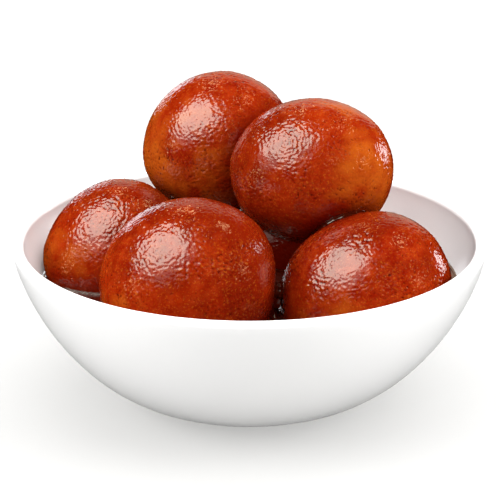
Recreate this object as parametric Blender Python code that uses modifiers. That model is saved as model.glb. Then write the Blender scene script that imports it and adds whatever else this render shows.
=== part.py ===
"""Gulab jamuns heaped in a round white bowl, standing in dark sugar syrup.

Units are metres, +Z is up and -Y is the front. The origin is the middle of the bowl's underside.
Each jamun is a soft ball of fried milk dough: an uneven ellipsoid that is pressed flat where it
meets another one or the bowl. The syrup fills the bowl up to its level, cut round the jamuns.
"""

import math
from collections import namedtuple

import bmesh
import bpy
from mathutils import Matrix, Vector, noise

MM = 0.001

# Bowl: a turned porcelain shape with a rounded lip and a low foot ring
BOWL_RADIUS = 65.0 * MM
BOWL_HEIGHT = 44.4 * MM
LIP_RADIUS = 1.6 * MM  # half the lip's thickness
FOOT_RADIUS = 23.0 * MM
FOOT_EDGE = 0.5 * MM  # rounding where the wall meets the table
RECESS_RADIUS = 18.5 * MM
RECESS_DEPTH = 0.9 * MM
RECESS_SLOPE = 0.6 * MM
FLOOR_HEIGHT = 4.2 * MM  # thickness of the bowl's bottom
FLOOR_RADIUS = 21.0 * MM
BELLY_RISE = 1.435  # how quickly the wall turns upright
BELLY_SPREAD = 1.865  # how wide the belly swells above the foot
TURN_STEPS = 56
WALL_STEPS = 9
LIP_STEPS = 4

# Syrup
SYRUP_LEVEL = 31.0 * MM

# Clearance between pieces that touch
GAP = 0.3 * MM

# Jamuns: centre, half sizes (along, depth, across), and the long side's lean from level
Jamun = namedtuple("Jamun", "name centre half_sizes lean seed")
JAMUNS = (
    Jamun("jamun_top_left", (-9.1, 28.5, 61.8), (21.6, 20.5, 19.7), 38, 1),
    Jamun("jamun_top_right", (17.0, 2.5, 62.5), (22.3, 19.6, 19.8), 5, 2),
    Jamun("jamun_left", (-36.3, 9.6, 33.2), (24.0, 20.0, 21.2), 75, 3),
    Jamun("jamun_front", (-16.2, -25.1, 40.5), (23.9, 22.2, 22.6), 29, 4),
    Jamun("jamun_right", (31.0, -21.7, 36.1), (23.9, 21.7, 21.3), 33, 5),
    Jamun("jamun_back", (13.0, 28.0, 30.0), (21.0, 20.3, 20.0), 12, 6),
)
BALL_GRID = 6  # cuts along each edge of the cube that a ball is rounded from
UNEVENNESS = 0.016  # share of the radius by which a ball swells and sinks
UNEVEN_SCALE = 1.3  # swells per radius
PRESS_SOFTNESS = 0.9 * MM  # how gradually a ball turns flat at a contact


def belly(share):
    """Share of the wall's spread reached at this share of its height."""
    return (1 - (1 - share) ** BELLY_RISE) ** (1 / BELLY_SPREAD)


def outer_radius(z):
    return FOOT_RADIUS + (BOWL_RADIUS - FOOT_RADIUS) * belly(z / BOWL_HEIGHT)


def inner_radius(z):
    mouth_radius = BOWL_RADIUS - 2 * LIP_RADIUS
    share = (z - FLOOR_HEIGHT) / (BOWL_HEIGHT - FLOOR_HEIGHT)
    return FLOOR_RADIUS + (mouth_radius - FLOOR_RADIUS) * belly(min(max(share, 0.0), 1.0))


def rising_heights(low, high, steps):
    """Heights from low to high, closer together near low, where the wall curves most."""
    return [low + (high - low) * (step / steps) ** 2 for step in range(steps + 1)]


def inner_wall(top, steps):
    """Points (radius, z) up the bowl's inner wall from its flat floor."""
    return [(inner_radius(z), z) for z in rising_heights(FLOOR_HEIGHT, top, steps)]


def outer_wall(top, steps):
    """Points up the bowl's outer wall, starting above the rounded foot edge."""
    return [(outer_radius(z), z) for z in rising_heights(FOOT_EDGE, top, steps)]


def lip_arc(top):
    """The rounded lip, from the inner wall over to the outer wall."""
    outer = outer_radius(top)
    inner = inner_radius(top)
    middle = (outer + inner) / 2
    half = (outer - inner) / 2
    points = []
    for step in range(1, LIP_STEPS):
        angle = math.pi * (1 - step / LIP_STEPS)
        points.append((middle + half * math.cos(angle), top + LIP_RADIUS * math.sin(angle)))
    return points


def bowl_profile():
    """From the middle of the floor up the inside, over the lip, down the outside and underneath."""
    top = BOWL_HEIGHT - LIP_RADIUS
    foot = [
        (FOOT_RADIUS, 0.0),
        (RECESS_RADIUS + RECESS_SLOPE, 0.0),
        (RECESS_RADIUS, RECESS_DEPTH),
        (0.0, RECESS_DEPTH),
    ]
    inside = [(0.0, FLOOR_HEIGHT)] + inner_wall(top, WALL_STEPS)
    outside = outer_wall(top, WALL_STEPS)[::-1]
    return inside + lip_arc(top) + outside + foot


def moved_in(points, distance):
    """The points of a wall moved towards the inside of the bowl by the distance."""
    moved = []
    for index, (radius, z) in enumerate(points):
        before = points[max(index - 1, 0)]
        after = points[min(index + 1, len(points) - 1)]
        along = Vector((after[0] - before[0], after[1] - before[1])).normalized()
        moved.append((radius - along.y * distance, z + along.x * distance))
    return moved


def syrup_profile():
    """From the middle of the surface out to the wall, and down the wall to the floor."""
    edge = (inner_radius(SYRUP_LEVEL) - GAP, SYRUP_LEVEL)
    wall = moved_in(inner_wall(SYRUP_LEVEL, WALL_STEPS - 2), GAP)[:-1]
    return [(0.0, SYRUP_LEVEL), edge] + wall[::-1] + [(0.0, FLOOR_HEIGHT + GAP)]


def turned_object(name, profile, material, collection):
    """Object made by turning a profile of (radius, z) points round the Z axis."""
    bm = bmesh.new()
    verts = [bm.verts.new((radius, 0.0, z)) for radius, z in profile]
    for first, second in zip(verts, verts[1:]):
        bm.edges.new((first, second))
    obj = object_from(bm, name, material, collection)
    screw = obj.modifiers.new("Turn", "SCREW")
    screw.angle = 2 * math.pi
    screw.steps = TURN_STEPS
    screw.render_steps = TURN_STEPS
    screw.use_merge_vertices = True
    screw.merge_threshold = 0.00001
    screw.use_smooth_shade = True
    return obj


def object_from(bm, name, material, collection):
    mesh = bpy.data.meshes.new(name)
    bm.to_mesh(mesh)
    bm.free()
    mesh.materials.append(material)
    obj = bpy.data.objects.new(name, mesh)
    collection.objects.link(obj)
    return obj


def centre_of(jamun):
    return Vector(jamun.centre) * MM


def turn_of(jamun):
    return Matrix.Rotation(-math.radians(jamun.lean), 3, "Y")


def reach(jamun, direction):
    """Distance from the jamun's centre to its surface in a direction."""
    along = turn_of(jamun).transposed() @ direction
    return 1 / math.sqrt(sum((along[i] / (jamun.half_sizes[i] * MM)) ** 2 for i in range(3)))


def round_mesh():
    """A unit ball of even four-sided faces, rounded from a cube."""
    bm = bmesh.new()
    bmesh.ops.create_cube(bm, size=2.0)
    bmesh.ops.subdivide_edges(bm, edges=bm.edges[:], cuts=BALL_GRID, use_grid_fill=True)
    quarter = math.pi / 4
    for vert in bm.verts:
        even = Vector(math.tan(quarter * value) for value in vert.co)
        vert.co = even.normalized()
    return bm


def pressed(amount):
    """How far a point that is this far past a contact is pushed back, turning on gradually."""
    return PRESS_SOFTNESS * math.log1p(math.exp(min(amount / PRESS_SOFTNESS, 40.0)))


def press_on_neighbours(bm, jamun):
    """Flattens the ball at the plane half way between it and each of the others."""
    centre = centre_of(jamun)
    for other in JAMUNS:
        if other is jamun:
            continue
        across = centre_of(other) - centre
        direction = across.normalized()
        own = reach(jamun, direction)
        space = across.length - own - reach(other, -direction)
        limit = own + space / 2 - GAP / 2
        for vert in bm.verts:
            past = (vert.co - centre).dot(direction) - limit
            vert.co -= direction * pressed(past)


def press_on_bowl(bm):
    """Keeps the ball clear of the bowl's inner wall."""
    for vert in bm.verts:
        radius = math.hypot(vert.co.x, vert.co.y)
        limit = inner_radius(min(vert.co.z, BOWL_HEIGHT - LIP_RADIUS)) - 1.5 * GAP
        scale = 1 - pressed(radius - limit) / radius
        vert.co.x *= scale
        vert.co.y *= scale


def jamun_object(jamun, material, collection):
    bm = round_mesh()
    shape = turn_of(jamun) @ Matrix.Diagonal(Vector(jamun.half_sizes) * MM)
    for vert in bm.verts:
        swell = noise.noise(vert.co * UNEVEN_SCALE + Vector((7.0 * jamun.seed, 0.0, 0.0)))
        vert.co = centre_of(jamun) + shape @ (vert.co * (1 + UNEVENNESS * swell))
    press_on_neighbours(bm, jamun)
    press_on_bowl(bm)
    obj = object_from(bm, jamun.name, material, collection)
    obj.data.shade_smooth()
    return obj


def pocket_cutter(jamun, ball, collection):
    """The jamun's own shape grown by the clearance, to cut its pocket in the syrup."""
    mesh = ball.data.copy()
    grown = [vert.co + vert.normal * GAP * 1.1 for vert in mesh.vertices]
    for vert, place in zip(mesh.vertices, grown):
        vert.co = place
    cutter = bpy.data.objects.new(f"{jamun.name}_cutter", mesh)
    cutter.hide_render = True
    cutter.display_type = "WIRE"
    collection.objects.link(cutter)
    return cutter


def principled(name, colour, roughness):
    material = bpy.data.materials.new(name)
    material.use_nodes = True
    shader = material.node_tree.nodes["Principled BSDF"]
    shader.inputs["Base Color"].default_value = (*colour, 1.0)
    shader.inputs["Roughness"].default_value = roughness
    shader.inputs["Metallic"].default_value = 0.0
    return material


def porcelain():
    return principled("white_porcelain", (0.86, 0.86, 0.85), 0.12)


def fried_skin():
    return principled("fried_skin", (0.33, 0.045, 0.008), 0.25)


def dark_syrup():
    return principled("dark_syrup", (0.09, 0.008, 0.002), 0.08)


def clear_scene():
    for obj in list(bpy.data.objects):
        bpy.data.objects.remove(obj, do_unlink=True)


def new_collection(name):
    collection = bpy.data.collections.new(name)
    bpy.context.scene.collection.children.link(collection)
    return collection


def main():
    clear_scene()
    parts = new_collection("gulab_jamun_bowl")
    cutters = new_collection("cutters")
    turned_object("bowl", bowl_profile(), porcelain(), parts)
    syrup = turned_object("syrup", syrup_profile(), dark_syrup(), parts)
    skin = fried_skin()
    for jamun in JAMUNS:
        ball = jamun_object(jamun, skin, parts)
        pocket = syrup.modifiers.new(f"Pocket for {jamun.name}", "BOOLEAN")
        pocket.operation = "DIFFERENCE"
        pocket.solver = "EXACT"
        pocket.object = pocket_cutter(jamun, ball, cutters)


main()
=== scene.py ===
import math

import bmesh
import bpy
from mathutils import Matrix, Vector, noise
from mathutils.bvhtree import BVHTree


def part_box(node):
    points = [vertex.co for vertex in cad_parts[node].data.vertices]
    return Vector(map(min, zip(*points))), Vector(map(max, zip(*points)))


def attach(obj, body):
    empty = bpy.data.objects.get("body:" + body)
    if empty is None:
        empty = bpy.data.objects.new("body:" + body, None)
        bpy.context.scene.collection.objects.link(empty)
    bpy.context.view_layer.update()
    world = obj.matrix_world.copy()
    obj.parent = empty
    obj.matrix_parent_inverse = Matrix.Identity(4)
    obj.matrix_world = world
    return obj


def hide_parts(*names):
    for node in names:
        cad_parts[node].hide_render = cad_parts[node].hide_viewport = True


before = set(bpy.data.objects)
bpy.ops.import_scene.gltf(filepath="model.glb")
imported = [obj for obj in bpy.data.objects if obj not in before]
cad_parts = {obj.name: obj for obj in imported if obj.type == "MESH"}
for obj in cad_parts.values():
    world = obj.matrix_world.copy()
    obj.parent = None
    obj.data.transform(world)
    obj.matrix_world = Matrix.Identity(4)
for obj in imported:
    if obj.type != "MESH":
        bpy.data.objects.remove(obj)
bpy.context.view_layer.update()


# The bowl
# A turned porcelain bowl, about 3 mm thick at its rounded lip, fired with a clear glaze. The
# belly swells from a low foot ring to an upright rim; only the ring it stands on is unglazed.

MM = 0.001
bowl_low, bowl_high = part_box("bowl")
BOWL_HEIGHT = bowl_high.z
LIP = 1.6 * MM  # half the lip's thickness
FOOT_RADIUS = 23.0 * MM
FOOT_EDGE = 0.5 * MM
RECESS_RADIUS = 18.5 * MM
RECESS_DEPTH = 0.9 * MM
FLOOR = 4.2 * MM
FLOOR_RADIUS = 21.0 * MM
BELLY_RISE = 1.435  # the two powers that round the belly
BELLY_SPREAD = 1.865
WALL_STEPS = 44
LIP_STEPS = 18
BOWL_TURN_STEPS = 224
FOOT_EDGE_STEPS = 5
MERGE = 0.001 * MM  # points nearer than this become one
TURN = 2 * math.pi


def belly(share):
    """Share of the wall's spread that is reached at this share of its height."""
    return (1 - (1 - min(max(share, 0.0), 1.0)) ** BELLY_RISE) ** (1 / BELLY_SPREAD)


RIM_RADIUS = FOOT_RADIUS + (bowl_high.x - FOOT_RADIUS) / belly(1 - LIP / BOWL_HEIGHT)


def outside_radius(z):
    return FOOT_RADIUS + (RIM_RADIUS - FOOT_RADIUS) * belly(z / BOWL_HEIGHT)


def inside_radius(z):
    mouth = RIM_RADIUS - 2 * LIP
    return FLOOR_RADIUS + (mouth - FLOOR_RADIUS) * belly((z - FLOOR) / (BOWL_HEIGHT - FLOOR))


def wall(radius_at, low, high, steps):
    """Points (radius, z) up a wall, closer together near the foot, where it curves most."""
    heights = [low + (high - low) * (step / steps) ** 2 for step in range(steps + 1)]
    return [(radius_at(z), z) for z in heights]


def arc(centre, half_width, half_height, start, end, steps):
    """Points of an elliptic arc between two angles, without its two ends."""
    angles = [start + (end - start) * step / steps for step in range(1, steps)]
    return [(centre[0] + half_width * math.cos(a), centre[1] + half_height * math.sin(a)) for a in angles]


def turned(profile, steps):
    """A profile of (radius, z) points spun round the Z axis."""
    bm = bmesh.new()
    line = [bm.verts.new((radius, 0.0, z)) for radius, z in profile]
    edges = [bm.edges.new(pair) for pair in zip(line, line[1:])]
    bmesh.ops.spin(
        bm, geom=line + edges, cent=(0, 0, 0), axis=(0, 0, 1), angle=TURN, steps=steps, use_merge=True)
    bmesh.ops.remove_doubles(bm, verts=bm.verts, dist=MERGE)
    bmesh.ops.recalc_face_normals(bm, faces=bm.faces)
    return bm


def piece_from(bm, name, material):
    mesh = bpy.data.meshes.new(name)
    bm.to_mesh(mesh)
    bm.free()
    mesh.shade_smooth()
    mesh.materials.append(material)
    piece = bpy.data.objects.new(name, mesh)
    bpy.context.scene.collection.objects.link(piece)
    return piece


def finish_material(name, **sockets):
    """A new Principled material with fixed values on the shader's own sockets."""
    material = bpy.data.materials.new(name)
    material.use_nodes = True
    shader = material.node_tree.nodes["Principled BSDF"]
    for socket, value in sockets.items():
        shader.inputs[socket.replace("_", " ")].default_value = value
    return material


def add(material, kind, inputs=(), **settings):
    """Adds a node. Each input is a value, or the output of another node."""
    made = material.node_tree.nodes.new(kind)
    for setting, value in settings.items():
        setattr(made, setting, value)
    for socket, value in dict(inputs).items():
        if isinstance(value, bpy.types.NodeSocket):
            material.node_tree.links.new(value, made.inputs[socket])
        else:
            made.inputs[socket].default_value = value
    return made


def coordinates(material):
    return add(material, "ShaderNodeTexCoord").outputs["Object"]


def mottle(material, where, size, detail=2.0, roughness=0.5):
    """Noise from 0 to 1 with patches of about this size in metres."""
    inputs = {"Vector": where, "Scale": 1 / size, "Detail": detail, "Roughness": roughness}
    return add(material, "ShaderNodeTexNoise", inputs).outputs["Fac"]


def remap(material, value, low, high, new_low=0.0, new_high=1.0):
    inputs = {"Value": value, "From Min": low, "From Max": high, "To Min": new_low, "To Max": new_high}
    return add(material, "ShaderNodeMapRange", inputs).outputs["Result"]


def combined(material, first, second, operation):
    return add(material, "ShaderNodeMath", {0: first, 1: second}, operation=operation).outputs["Value"]


def mixed(material, factor, first, second):
    """The first colour at a factor of 0, the second at 1."""
    made = add(material, "ShaderNodeMix", data_type="RGBA")
    for index, value in ((0, factor), (6, first), (7, second)):
        if isinstance(value, bpy.types.NodeSocket):
            material.node_tree.links.new(value, made.inputs[index])
        else:
            made.inputs[index].default_value = value
    return made.outputs[2]


def bump(material, height, strength, distance):
    inputs = {"Height": height, "Strength": strength, "Distance": distance}
    return add(material, "ShaderNodeBump", inputs).outputs["Normal"]


def feed(material, **sockets):
    """Links outputs to the shader's sockets."""
    shader = material.node_tree.nodes["Principled BSDF"]
    for socket, output in sockets.items():
        material.node_tree.links.new(output, shader.inputs[socket.replace("_", " ")])


def porcelain():
    """White glaze with a faint cloud and ripple, and bare clay under the foot."""
    material = finish_material(
        "Glazed porcelain", IOR=1.5, Coat_Weight=0.3, Coat_Roughness=0.14, Coat_IOR=1.5)
    where = coordinates(material)
    cloud = mottle(material, where, 22 * MM)
    glaze = mixed(material, cloud, (0.83, 0.83, 0.83, 1), (0.86, 0.857, 0.85, 1))
    height = add(material, "ShaderNodeSeparateXYZ", {"Vector": where}).outputs["Z"]
    bare = remap(material, height, 0.45 * MM, 0.15 * MM)
    colour = mixed(material, bare, glaze, (0.62, 0.58, 0.53, 1))
    satin = remap(material, mottle(material, where, 6 * MM), 0.3, 0.7, 0.30, 0.38)
    rough = combined(material, satin, bare, "MAXIMUM")
    ripple = bump(material, mottle(material, where, 5 * MM), 0.06, 0.1 * MM)
    feed(material, Base_Color=colour, Roughness=rough, Normal=ripple)
    return material


def bowl_profile():
    """Up the inside from the middle of the floor, over the lip, down the outside and underneath."""
    top = BOWL_HEIGHT - LIP
    lip_middle = (outside_radius(top) + inside_radius(top)) / 2
    lip_half = (outside_radius(top) - inside_radius(top)) / 2
    floor = [(0.0, FLOOR), (FLOOR_RADIUS * 0.5, FLOOR)]
    inside = wall(inside_radius, FLOOR, top, WALL_STEPS)
    lip = arc((lip_middle, top), lip_half, LIP, math.pi, 0, LIP_STEPS)
    outside = wall(outside_radius, FOOT_EDGE, top, WALL_STEPS)[::-1]
    edge_middle = (outside_radius(FOOT_EDGE) - FOOT_EDGE, FOOT_EDGE)
    foot_edge = arc(edge_middle, FOOT_EDGE, FOOT_EDGE, 0, -math.pi / 2, FOOT_EDGE_STEPS)
    ring = [(FOOT_RADIUS, 0.0), (RECESS_RADIUS + 0.6 * MM, 0.0), (RECESS_RADIUS, RECESS_DEPTH * 0.8)]
    recess = [(radius, RECESS_DEPTH) for radius in (RECESS_RADIUS - 1.0 * MM, RECESS_RADIUS * 0.5, 0.0)]
    return floor + inside + lip + outside + foot_edge + ring + recess


bowl = piece_from(turned(bowl_profile(), BOWL_TURN_STEPS), "Porcelain_bowl", porcelain())
bowl.visible_glossy = False  # a white reflection of it would fade the jamuns' colour
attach(bowl, "root")
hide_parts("bowl")


# The jamuns
# Balls of milk dough rolled by hand, fried dark and soaked until they shine. Each takes its uneven
# shape from its CAD solid, and gets the finely pitted and creased skin that the frying leaves.

JAMUNS = ("jamun_left", "jamun_front", "jamun_right", "jamun_back", "jamun_top_left", "jamun_top_right")
SMOOTHING = 4  # subdivision levels from the CAD solid's faces to the skin's
SWELL_ROUNDS = 3  # times the cage is pushed out, since subdividing shrinks it
CAGE_MERGE = 0.005 * MM
SQUARE_LIMIT = math.radians(40)  # bend and skew up to which two triangles make a square
skins = {}  # the finished skin of each jamun, to measure from


def smooth_copy(node):
    """The CAD solid's triangles joined into squares, and subdivided into a skin through its points."""
    bm = bmesh.new()
    bm.from_mesh(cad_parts[node].data)
    bmesh.ops.remove_doubles(bm, verts=bm.verts, dist=CAGE_MERGE)
    bmesh.ops.join_triangles(
        bm, faces=bm.faces, angle_face_threshold=SQUARE_LIMIT, angle_shape_threshold=SQUARE_LIMIT)
    mesh = bpy.data.meshes.new("cage")
    bm.to_mesh(mesh)
    bm.free()
    cage = bpy.data.objects.new("cage", mesh)
    bpy.context.scene.collection.objects.link(cage)
    smooth = cage.modifiers.new("Smooth", "SUBSURF")
    smooth.levels = SMOOTHING
    smooth.render_levels = SMOOTHING
    targets = [vert.co.copy() for vert in mesh.vertices]
    for _ in range(SWELL_ROUNDS):
        shrunk = cage.evaluated_get(bpy.context.evaluated_depsgraph_get()).data
        moves = [target - shrunk.vertices[index].co for index, target in enumerate(targets)]
        for vert, move in zip(mesh.vertices, moves):
            vert.co += move
        mesh.update()
        bpy.context.view_layer.update()
    evaluated = cage.evaluated_get(bpy.context.evaluated_depsgraph_get())
    fine = bmesh.new()
    fine.from_mesh(bpy.data.meshes.new_from_object(evaluated))
    bpy.data.objects.remove(cage, do_unlink=True)
    return fine


def middle(node):
    low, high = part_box(node)
    return (low + high) / 2


def girth(node):
    """Mean radius of a jamun."""
    low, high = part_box(node)
    return sum(high - low) / 6


BALL_SHIFT = (17.3, 5.1, 0.0)  # from each ball's pattern to the next one's, in mm
CREASE_SHIFT = Vector((0.0, 4.4, 0.0))  # these keep a ball's own patterns from lining up
LIVELY_SHIFT = Vector((3.1, 0.0, 7.7))
PALE_SHIFT = Vector((0.0, 8.2, 0.0))


def skin_relief(place):
    """Height in mm of the skin's hand-rolled waves, and of its fine peel and creases, at a place in mm."""
    waves = 0.20 * noise.noise(place / 9.0) + 0.06 * noise.noise(place / 3.4)
    peel = 0.120 * noise.noise(place / 0.62) + 0.070 * noise.noise(place / 0.40)
    peel += 0.15 * abs(noise.noise(place / 1.10 + CREASE_SHIFT)) - 0.025
    lively = 1.0 + 0.9 * noise.noise(place / 8.0 + LIVELY_SHIFT)
    return waves, peel * max(lively, 0.4)


PAINTED_SHADE_REACH = 7.5 * MM  # painted shade darkens the skin where the next jamun, or the pool, is nearer than this
DEEPEST = "jamun_back"  # the two upper ones lean on it
HEAP_MIDDLE = 23.0 * MM  # nearer than this to the heap's middle, it gets painted shade all over
LIT_SIDE_AND_DARKNESS = {  # the way that a ball's painted lit side faces, and how much darker it is all over: partly its frying, partly painted shade
    "jamun_left": ((-0.60, -0.30, -0.70), 0.20),
    "jamun_front": ((-0.80, -0.20, -0.55), 0.62),
    "jamun_right": ((-0.30, -0.40, -0.85), 0.25),
    "jamun_back": ((0.30, 0.50, -0.80), 0.35),
    "jamun_top_left": ((-0.85, -0.10, -0.30), 0.05),
    "jamun_top_right": ((0.90, -0.05, -0.20), 0.25),
}


def shape_skin(bm, node, seed):
    """Moves each point along its normal by the skin's relief, and keeps what the colour needs."""
    relief = bm.verts.layers.float.new("relief")
    pale = bm.verts.layers.float.new("pale")
    painted_shade = bm.verts.layers.float.new("painted_shade")
    shift = Vector([step * seed for step in BALL_SHIFT])
    others = [(middle(other), girth(other)) for other in JAMUNS if other != node]
    syrup_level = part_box("syrup")[1].z
    centre = middle(node)
    direction, darker_fried_and_shaded = LIT_SIDE_AND_DARKNESS[node]
    painted_lit_side = Vector(direction).normalized()
    moves = []
    for vert in bm.verts:
        place = vert.co / MM + shift
        waves, fine = skin_relief(place)
        # painted shade grows as the next jamun, the pool and, for the deepest one, the heap's middle come
        # nearer
        gap = min((vert.co - other).length - radius for other, radius in others)
        gap = min(gap, vert.co.z - syrup_level)
        if node == DEEPEST:
            gap = min(gap, math.hypot(vert.co.x, vert.co.y) - HEAP_MIDDLE)
        # painted light and shade: paler towards the lit side's way and darker away from it, on top of
        # random tone
        side = (vert.co - centre).normalized().dot(painted_lit_side)
        uneven = 0.6 * noise.noise(place / 12.0 + PALE_SHIFT) + 0.45 * noise.noise(place / 3.6)
        vert[relief] = fine
        vert[pale] = 0.75 * side + uneven - darker_fried_and_shaded
        vert[painted_shade] = 1 - min(max(gap / PAINTED_SHADE_REACH, 0.0), 1.0)
        moves.append(vert.normal * (waves + fine) * MM)
    for vert, move in zip(bm.verts, moves):
        vert.co += move
    bm.normal_update()


def attribute(material, name):
    return add(material, "ShaderNodeAttribute", attribute_name=name).outputs["Fac"]


def fried_skin():
    """Brown-red skin in random tones, with painted light and shade: an amber glow on a painted lit side,
    painted golden glints on the relief's ridges and in fine specks, and painted shade in its creases, on
    its far side and near the other jamuns and the pool.
    """
    material = finish_material("Fried skin soaked in syrup", IOR=1.45, Coat_Roughness=0.03, Coat_IOR=1.5)
    where = coordinates(material)
    patches = remap(material, mottle(material, where, 14 * MM, 3.0), 0.38, 0.66)
    blotches = remap(material, mottle(material, where, 3.0 * MM, 5.0, 0.65), 0.38, 0.68)
    body = mixed(material, patches, (0.22, 0.007, 0.001, 1), (0.29, 0.016, 0.001, 1))
    body = mixed(material, blotches, body, (0.35, 0.029, 0.003, 1))
    lit_side_and_tone = attribute(material, "pale")
    # painted shade on the side away from the lit side and on the balls that lie in shade, together with
    # their darker frying and random tone
    dark = remap(material, lit_side_and_tone, -0.35, -1.0, 0.0, 0.8)
    body = mixed(material, dark, body, (0.16, 0.007, 0.001, 1))
    # painted light: an amber glow on the lit side
    body = mixed(material, remap(material, lit_side_and_tone, 0.0, 0.65), body, (0.42, 0.070, 0.005, 1))
    # painted shade in a deep red near the other jamuns and the pool
    painted_shade_level = attribute(material, "painted_shade")
    painted_shade = remap(material, painted_shade_level, 0.15, 1.0, 0.0, 0.85)
    body = mixed(material, painted_shade, body, (0.14, 0.003, 0.0004, 1))
    relief = attribute(material, "relief")
    # painted highlights: golden glints on the relief's ridges and in fine specks, kept out of the painted
    # shade
    painted_crest_glints = remap(material, relief, 0.06, 0.17, 0.0, 0.45)
    painted_glint_specks = remap(material, mottle(material, where, 0.48 * MM, 1.0), 0.58, 0.74, 0.0, 0.4)
    golden = combined(material, painted_glint_specks, painted_crest_glints, "MAXIMUM")
    blotchy = remap(material, blotches, 0.0, 1.0, 0.35, 1.0)
    unshaded_blotches = combined(material, remap(material, painted_shade, 0.5, 0.0), blotchy, "MULTIPLY")
    body = mixed(material, combined(material, golden, unshaded_blotches, "MULTIPLY"), body, (0.62, 0.17, 0.012, 1))
    # painted shade: darker where the relief sinks into creases
    creases = remap(material, relief, -0.03, -0.12, 0.0, 0.9)
    colour = mixed(material, creases, body, (0.08, 0.003, 0.001, 1))
    grain = bump(material, mottle(material, where, 0.42 * MM, 1.0), 1.0, 0.04 * MM)
    rough = remap(material, blotches, 0.0, 1.0, 0.05, 0.10)
    # the painted shade also dulls the shine and the coat, as shade in the hollows
    shine = remap(material, painted_shade_level, 0.3, 0.95, 0.5, 0.08)
    coat = remap(material, painted_shade_level, 0.3, 0.95, 0.4, 0.03)
    feed(material, Base_Color=colour, Roughness=rough, Specular_IOR_Level=shine)
    feed(material, Coat_Weight=coat, Normal=grain, Coat_Normal=grain)
    return material


skin_material = fried_skin()
for seed, node in enumerate(JAMUNS):
    bm = smooth_copy(node)
    shape_skin(bm, node, seed)
    skins[node] = BVHTree.FromBMesh(bm)
    jamun = piece_from(bm, node.replace("jamun", "Jamun"), skin_material)
    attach(jamun, "root")
    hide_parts(node)


# The syrup
# Dark sugar syrup, poured into the bowl over the jamuns. It reaches just into the porcelain all
# round, and climbs a little where it wets the wall and each jamun.

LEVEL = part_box("syrup")[1].z
INTO_WALL = 0.35 * MM
WALL_CLIMB = 0.7 * MM
JAMUN_CLIMB = 0.9 * MM
CLIMB_WIDTH = 0.7 * MM
POOL_RINGS = 120
POOL_WALL_STEPS = 20
POOL_TURN_STEPS = 384


def above_skin(place):
    """Distance from a place to the nearest jamun, negative inside one."""
    nearest = math.inf
    for tree in skins.values():
        point, normal, _, distance = tree.find_nearest(place)
        outside = (place - point).dot(normal) > 0
        nearest = min(nearest, distance if outside else -distance)
    return nearest


def pool():
    """A disc at the syrup's level, closed underneath along the bowl, that climbs at its edges."""
    edge = inside_radius(LEVEL) + INTO_WALL
    surface = [(edge * ring / POOL_RINGS, LEVEL) for ring in range(POOL_RINGS)]
    along_bowl = wall(inside_radius, FLOOR, LEVEL, POOL_WALL_STEPS)[::-1]
    down = [(radius + INTO_WALL, z) for radius, z in along_bowl]
    bm = turned(surface + down + [(0.0, FLOOR - INTO_WALL)], POOL_TURN_STEPS)
    for vert in bm.verts:
        if vert.co.z < LEVEL - MERGE:
            continue
        to_wall = edge - math.hypot(vert.co.x, vert.co.y)
        to_skin = above_skin(vert.co)
        rise = WALL_CLIMB * math.exp(-max(to_wall, 0.0) / CLIMB_WIDTH)
        rise = max(rise, JAMUN_CLIMB * math.exp(-max(to_skin, 0.0) / CLIMB_WIDTH))
        vert.co.z += rise
    return bm


def dark_syrup():
    material = finish_material(
        "Dark sugar syrup", IOR=1.48, Roughness=0.05, Coat_Weight=1.0, Coat_Roughness=0.02)
    where = coordinates(material)
    depth = mottle(material, where, 12 * MM)
    colour = mixed(material, depth, (0.040, 0.003, 0.001, 1), (0.085, 0.008, 0.002, 1))
    ripple = bump(material, mottle(material, where, 9 * MM), 0.1, 0.1 * MM)
    feed(material, Base_Color=colour, Normal=ripple)
    return material


syrup_material = dark_syrup()
syrup = piece_from(pool(), "Syrup_pool", syrup_material)
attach(syrup, "root")
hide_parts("syrup")


# The syrup necks
# Where two jamuns press together, syrup stays in the wedge between them as a ring with a hollow
# face. It is the wet line that glints along each contact.

NECKS = (  # the two jamuns, and the space between their skins at the ring's outer edge
    ("jamun_left", "jamun_front", 1.5 * MM),
    ("jamun_left", "jamun_top_left", 1.5 * MM),
    ("jamun_back", "jamun_top_left", 1.5 * MM),
    ("jamun_back", "jamun_top_right", 1.5 * MM),
    ("jamun_right", "jamun_top_right", 1.5 * MM),
    ("jamun_top_left", "jamun_top_right", 1.5 * MM),
    ("jamun_front", "jamun_right", 2.4 * MM),
)
NECK_STEPS = 72
NECK_FACE = 8  # points across the hollow face
NECK_HOLLOW = 0.35  # depth of the hollow, as a share of the space
NECK_DEPTH = 2.0 * MM
NECK_OVERLAP = 0.12 * MM  # how far the ring reaches into the skins
NECK_SEARCH = 0.2 * MM  # step of the search for the ring's outer edge
NECK_LIMIT = 16 * MM  # and how far out it may lie
NECK_START = 10  # radius of the plain ring that is spun first, in mm


def room_between(place, axis, first, second):
    """Distances from a place between two jamuns to each of them, along the line of their middles."""
    back = skins[first].ray_cast(place, -axis)[3]
    forth = skins[second].ray_cast(place, axis)[3]
    if back is None or forth is None:
        return None
    return back, forth


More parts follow.
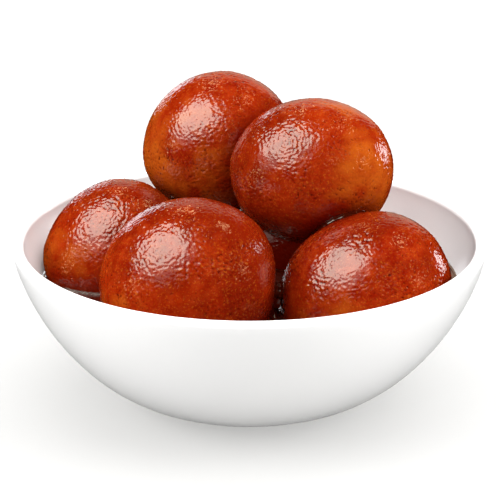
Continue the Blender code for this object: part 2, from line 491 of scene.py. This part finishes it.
def neck(first, second, width):
    """A plain ring is spun, and then each of its points is placed between the two skins."""
    axis = (middle(second) - middle(first)).normalized()
    own = skins[first].ray_cast(middle(first), axis)[0]
    other = skins[second].ray_cast(middle(second), -axis)[0]
    centre = (own + other) / 2
    side = axis.orthogonal().normalized()
    bm = bmesh.new()
    section = [bm.verts.new(centre + side * (NECK_START + index) * MM) for index in range(NECK_FACE + 1)]
    edges = [bm.edges.new(pair) for pair in zip(section, section[1:] + section[:1])]
    bmesh.ops.spin(
        bm, geom=section + edges, cent=centre, axis=axis, angle=TURN, steps=NECK_STEPS, use_merge=True)
    for vert in bm.verts:
        out = vert.co - centre
        index = round(out.length / MM) - NECK_START
        out.normalize()
        reach = 0.0
        room = None
        while reach < NECK_LIMIT:
            room = room_between(centre + out * reach, axis, first, second)
            if room is None or sum(room) > width:
                break
            reach += NECK_SEARCH
        back, forth = room or (width / 2, width / 2)
        if index == NECK_FACE:
            vert.co = centre + out * (reach - NECK_DEPTH) + axis * (forth - back) / 2
            continue
        across = index / (NECK_FACE - 1)
        along = -back - NECK_OVERLAP + across * (back + forth + 2 * NECK_OVERLAP)
        inset = NECK_HOLLOW * width * math.sin(math.pi * across)
        vert.co = centre + out * (reach - inset) + axis * along
    bmesh.ops.recalc_face_normals(bm, faces=bm.faces)
    return bm


for first, second, width in NECKS:
    name = "Syrup_neck" + first.removeprefix("jamun") + second.removeprefix("jamun")
    ring = piece_from(neck(first, second, width), name, syrup_material)
    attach(ring, "root")


# The studio
# A plain pale floor under an even white sky. Some of the round lights bring out the matte
# colours. The others show only as highlights, and the small amber ones make the skin sparkle.

FLOOR_SIZE = 0.75
FLOOR_DROP = 0.02 * MM


def pale_floor():
    bm = bmesh.new()
    bmesh.ops.create_circle(bm, cap_ends=True, segments=64, radius=FLOOR_SIZE)
    material = finish_material(
        "Pale floor", Base_Color=(0.42, 0.418, 0.413, 1), Roughness=0.8, Specular_IOR_Level=0.0)
    floor = piece_from(bm, "Floor", material)
    floor.location.z = -FLOOR_DROP
    floor.visible_glossy = False
    return floor


HEAP_CENTRE = Vector((0.0, 0.0, 0.05))


def soft_light(name, direction, distance, spread, radiance, highlight=False, colour=(1, 1, 1)):
    """A round soft light on the heap, spread degrees from its middle to its edge. It lights the matte
    colours, or shows only as a highlight."""
    radius = distance * math.tan(math.radians(spread))
    light = bpy.data.lights.new(name, "AREA")
    light.shape = "DISK"
    light.size = 2 * radius
    light.energy = radiance * math.pi * math.pi * radius ** 2
    light.color = colour
    lamp = bpy.data.objects.new(name, light)
    towards = Vector(direction).normalized()
    lamp.location = HEAP_CENTRE + towards * distance
    lamp.rotation_euler = towards.to_track_quat("Z", "Y").to_euler()
    lamp.visible_camera = False
    lamp.visible_diffuse = not highlight
    lamp.visible_glossy = highlight
    bpy.context.scene.collection.objects.link(lamp)
    return lamp


def light_only(lamp, piece):
    """Makes this light fall on one piece alone."""
    lit = bpy.data.collections.new(lamp.name + "_lights")
    lit.objects.link(piece)
    lamp.light_linking.receiver_collection = lit


def even_sky(strength):
    """White to the camera, and an even light from all round that shows in no reflection."""
    world = bpy.data.worlds.new("Studio")
    world.use_nodes = True
    nodes = world.node_tree.nodes
    path = nodes.new("ShaderNodeLightPath")
    level = nodes.new("ShaderNodeMapRange")
    level.inputs["To Min"].default_value = strength
    level.inputs["To Max"].default_value = 1.0
    world.node_tree.links.new(path.outputs["Is Camera Ray"], level.inputs["Value"])
    world.node_tree.links.new(level.outputs["Result"], nodes["Background"].inputs["Strength"])
    nodes["Background"].inputs["Color"].default_value = (1, 1, 1, 1)
    world.cycles_visibility.glossy = False
    bpy.context.scene.world = world


def floor_light(floor, strength):
    """Lights the floor alone, to keep the shadow on it pale."""
    light = bpy.data.lights.new("Floor_light", "SUN")
    light.energy = strength
    light.use_shadow = False
    lamp = bpy.data.objects.new("Floor_light", light)
    bpy.context.scene.collection.objects.link(lamp)
    light_only(lamp, floor)


CAMERA_DISTANCE = 0.8
CAMERA_ELEVATION = math.radians(21.3)
CAMERA_RAISED = math.radians(1.234)  # how far above the bowl's middle it looks
CAMERA_ASIDE = 0.14 * MM
CAMERA_LENS = 208.5  # in mm, on a sensor 36 mm wide


def studio_camera():
    data = bpy.data.cameras.new("Camera")
    data.lens = CAMERA_LENS
    data.sensor_width = 36.0
    camera = bpy.data.objects.new("Camera", data)
    away = Vector((0.0, -math.cos(CAMERA_ELEVATION), math.sin(CAMERA_ELEVATION)))
    camera.location = Vector((CAMERA_ASIDE, 0.0, BOWL_HEIGHT / 2)) + away * CAMERA_DISTANCE
    camera.rotation_euler = (math.pi / 2 - CAMERA_ELEVATION + CAMERA_RAISED, 0.0, 0.0)
    bpy.context.scene.collection.objects.link(camera)
    bpy.context.scene.camera = camera


MATTE_LIGHTS = (  # name, the way it comes from, distance, degrees of spread, brightness
    ("Top", (0.20, 0.20, 1.0), 1.6, 38, 1.9),
    ("Key", (-0.50, -0.21, 0.84), 1.4, 30, 0.5),
    ("Left_fill", (-1.0, -0.15, 0.48), 1.2, 20, 4.9),
    ("Right_fill", (1.0, -0.1, 0.42), 1.2, 20, 5.4),
)
AMBER = (1.0, 0.66, 0.32)
HIGHLIGHTS = (  # the same, and the colour
    ("Softbox", (-0.52, -0.26, 0.81), 1.1, 27, 5.9, (0.93, 1.0, 0.87)),
    ("Softbox_edge", (-0.52, -0.36, 0.77), 1.2, 36, 1.3, (1.0, 0.92, 0.80)),
    ("Right_box", (0.83, 0.55, 0.08), 0.9, 8, 5.5, (1.0, 1.0, 1.0)),
    ("Rim_box", (-0.33, 0.93, 0.13), 0.9, 9, 2.2, (0.93, 0.96, 1.0)),
    ("Back_box", (0.15, 0.95, 0.32), 1.4, 22, 0.6, (1.0, 0.8, 0.6)),
    ("Spark_above", (0.44, 0.24, 0.85), 1.0, 4, 8.0, AMBER),
    ("Spark_right", (0.91, -0.28, 0.29), 1.0, 4, 8.0, AMBER),
    ("Spark_left", (-0.95, -0.28, 0.10), 1.0, 4, 8.0, AMBER),
    ("Spark_behind", (-0.12, 0.62, 0.76), 1.0, 4, 8.0, AMBER),
    ("Spark_front", (0.39, -0.74, 0.49), 1.0, 4, 3.5, AMBER),
)

floor_light(pale_floor(), 2.45)
even_sky(0.80)
for settings in MATTE_LIGHTS:
    soft_light(*settings)
light_only(soft_light("Bowl_light", (0.0, 0.25, 1.0), 1.5, 42, 1.6), bowl)
for *settings, colour in HIGHLIGHTS:
    soft_light(*settings, highlight=True, colour=colour)
studio_camera()
bpy.context.scene.view_settings.view_transform = "Standard"
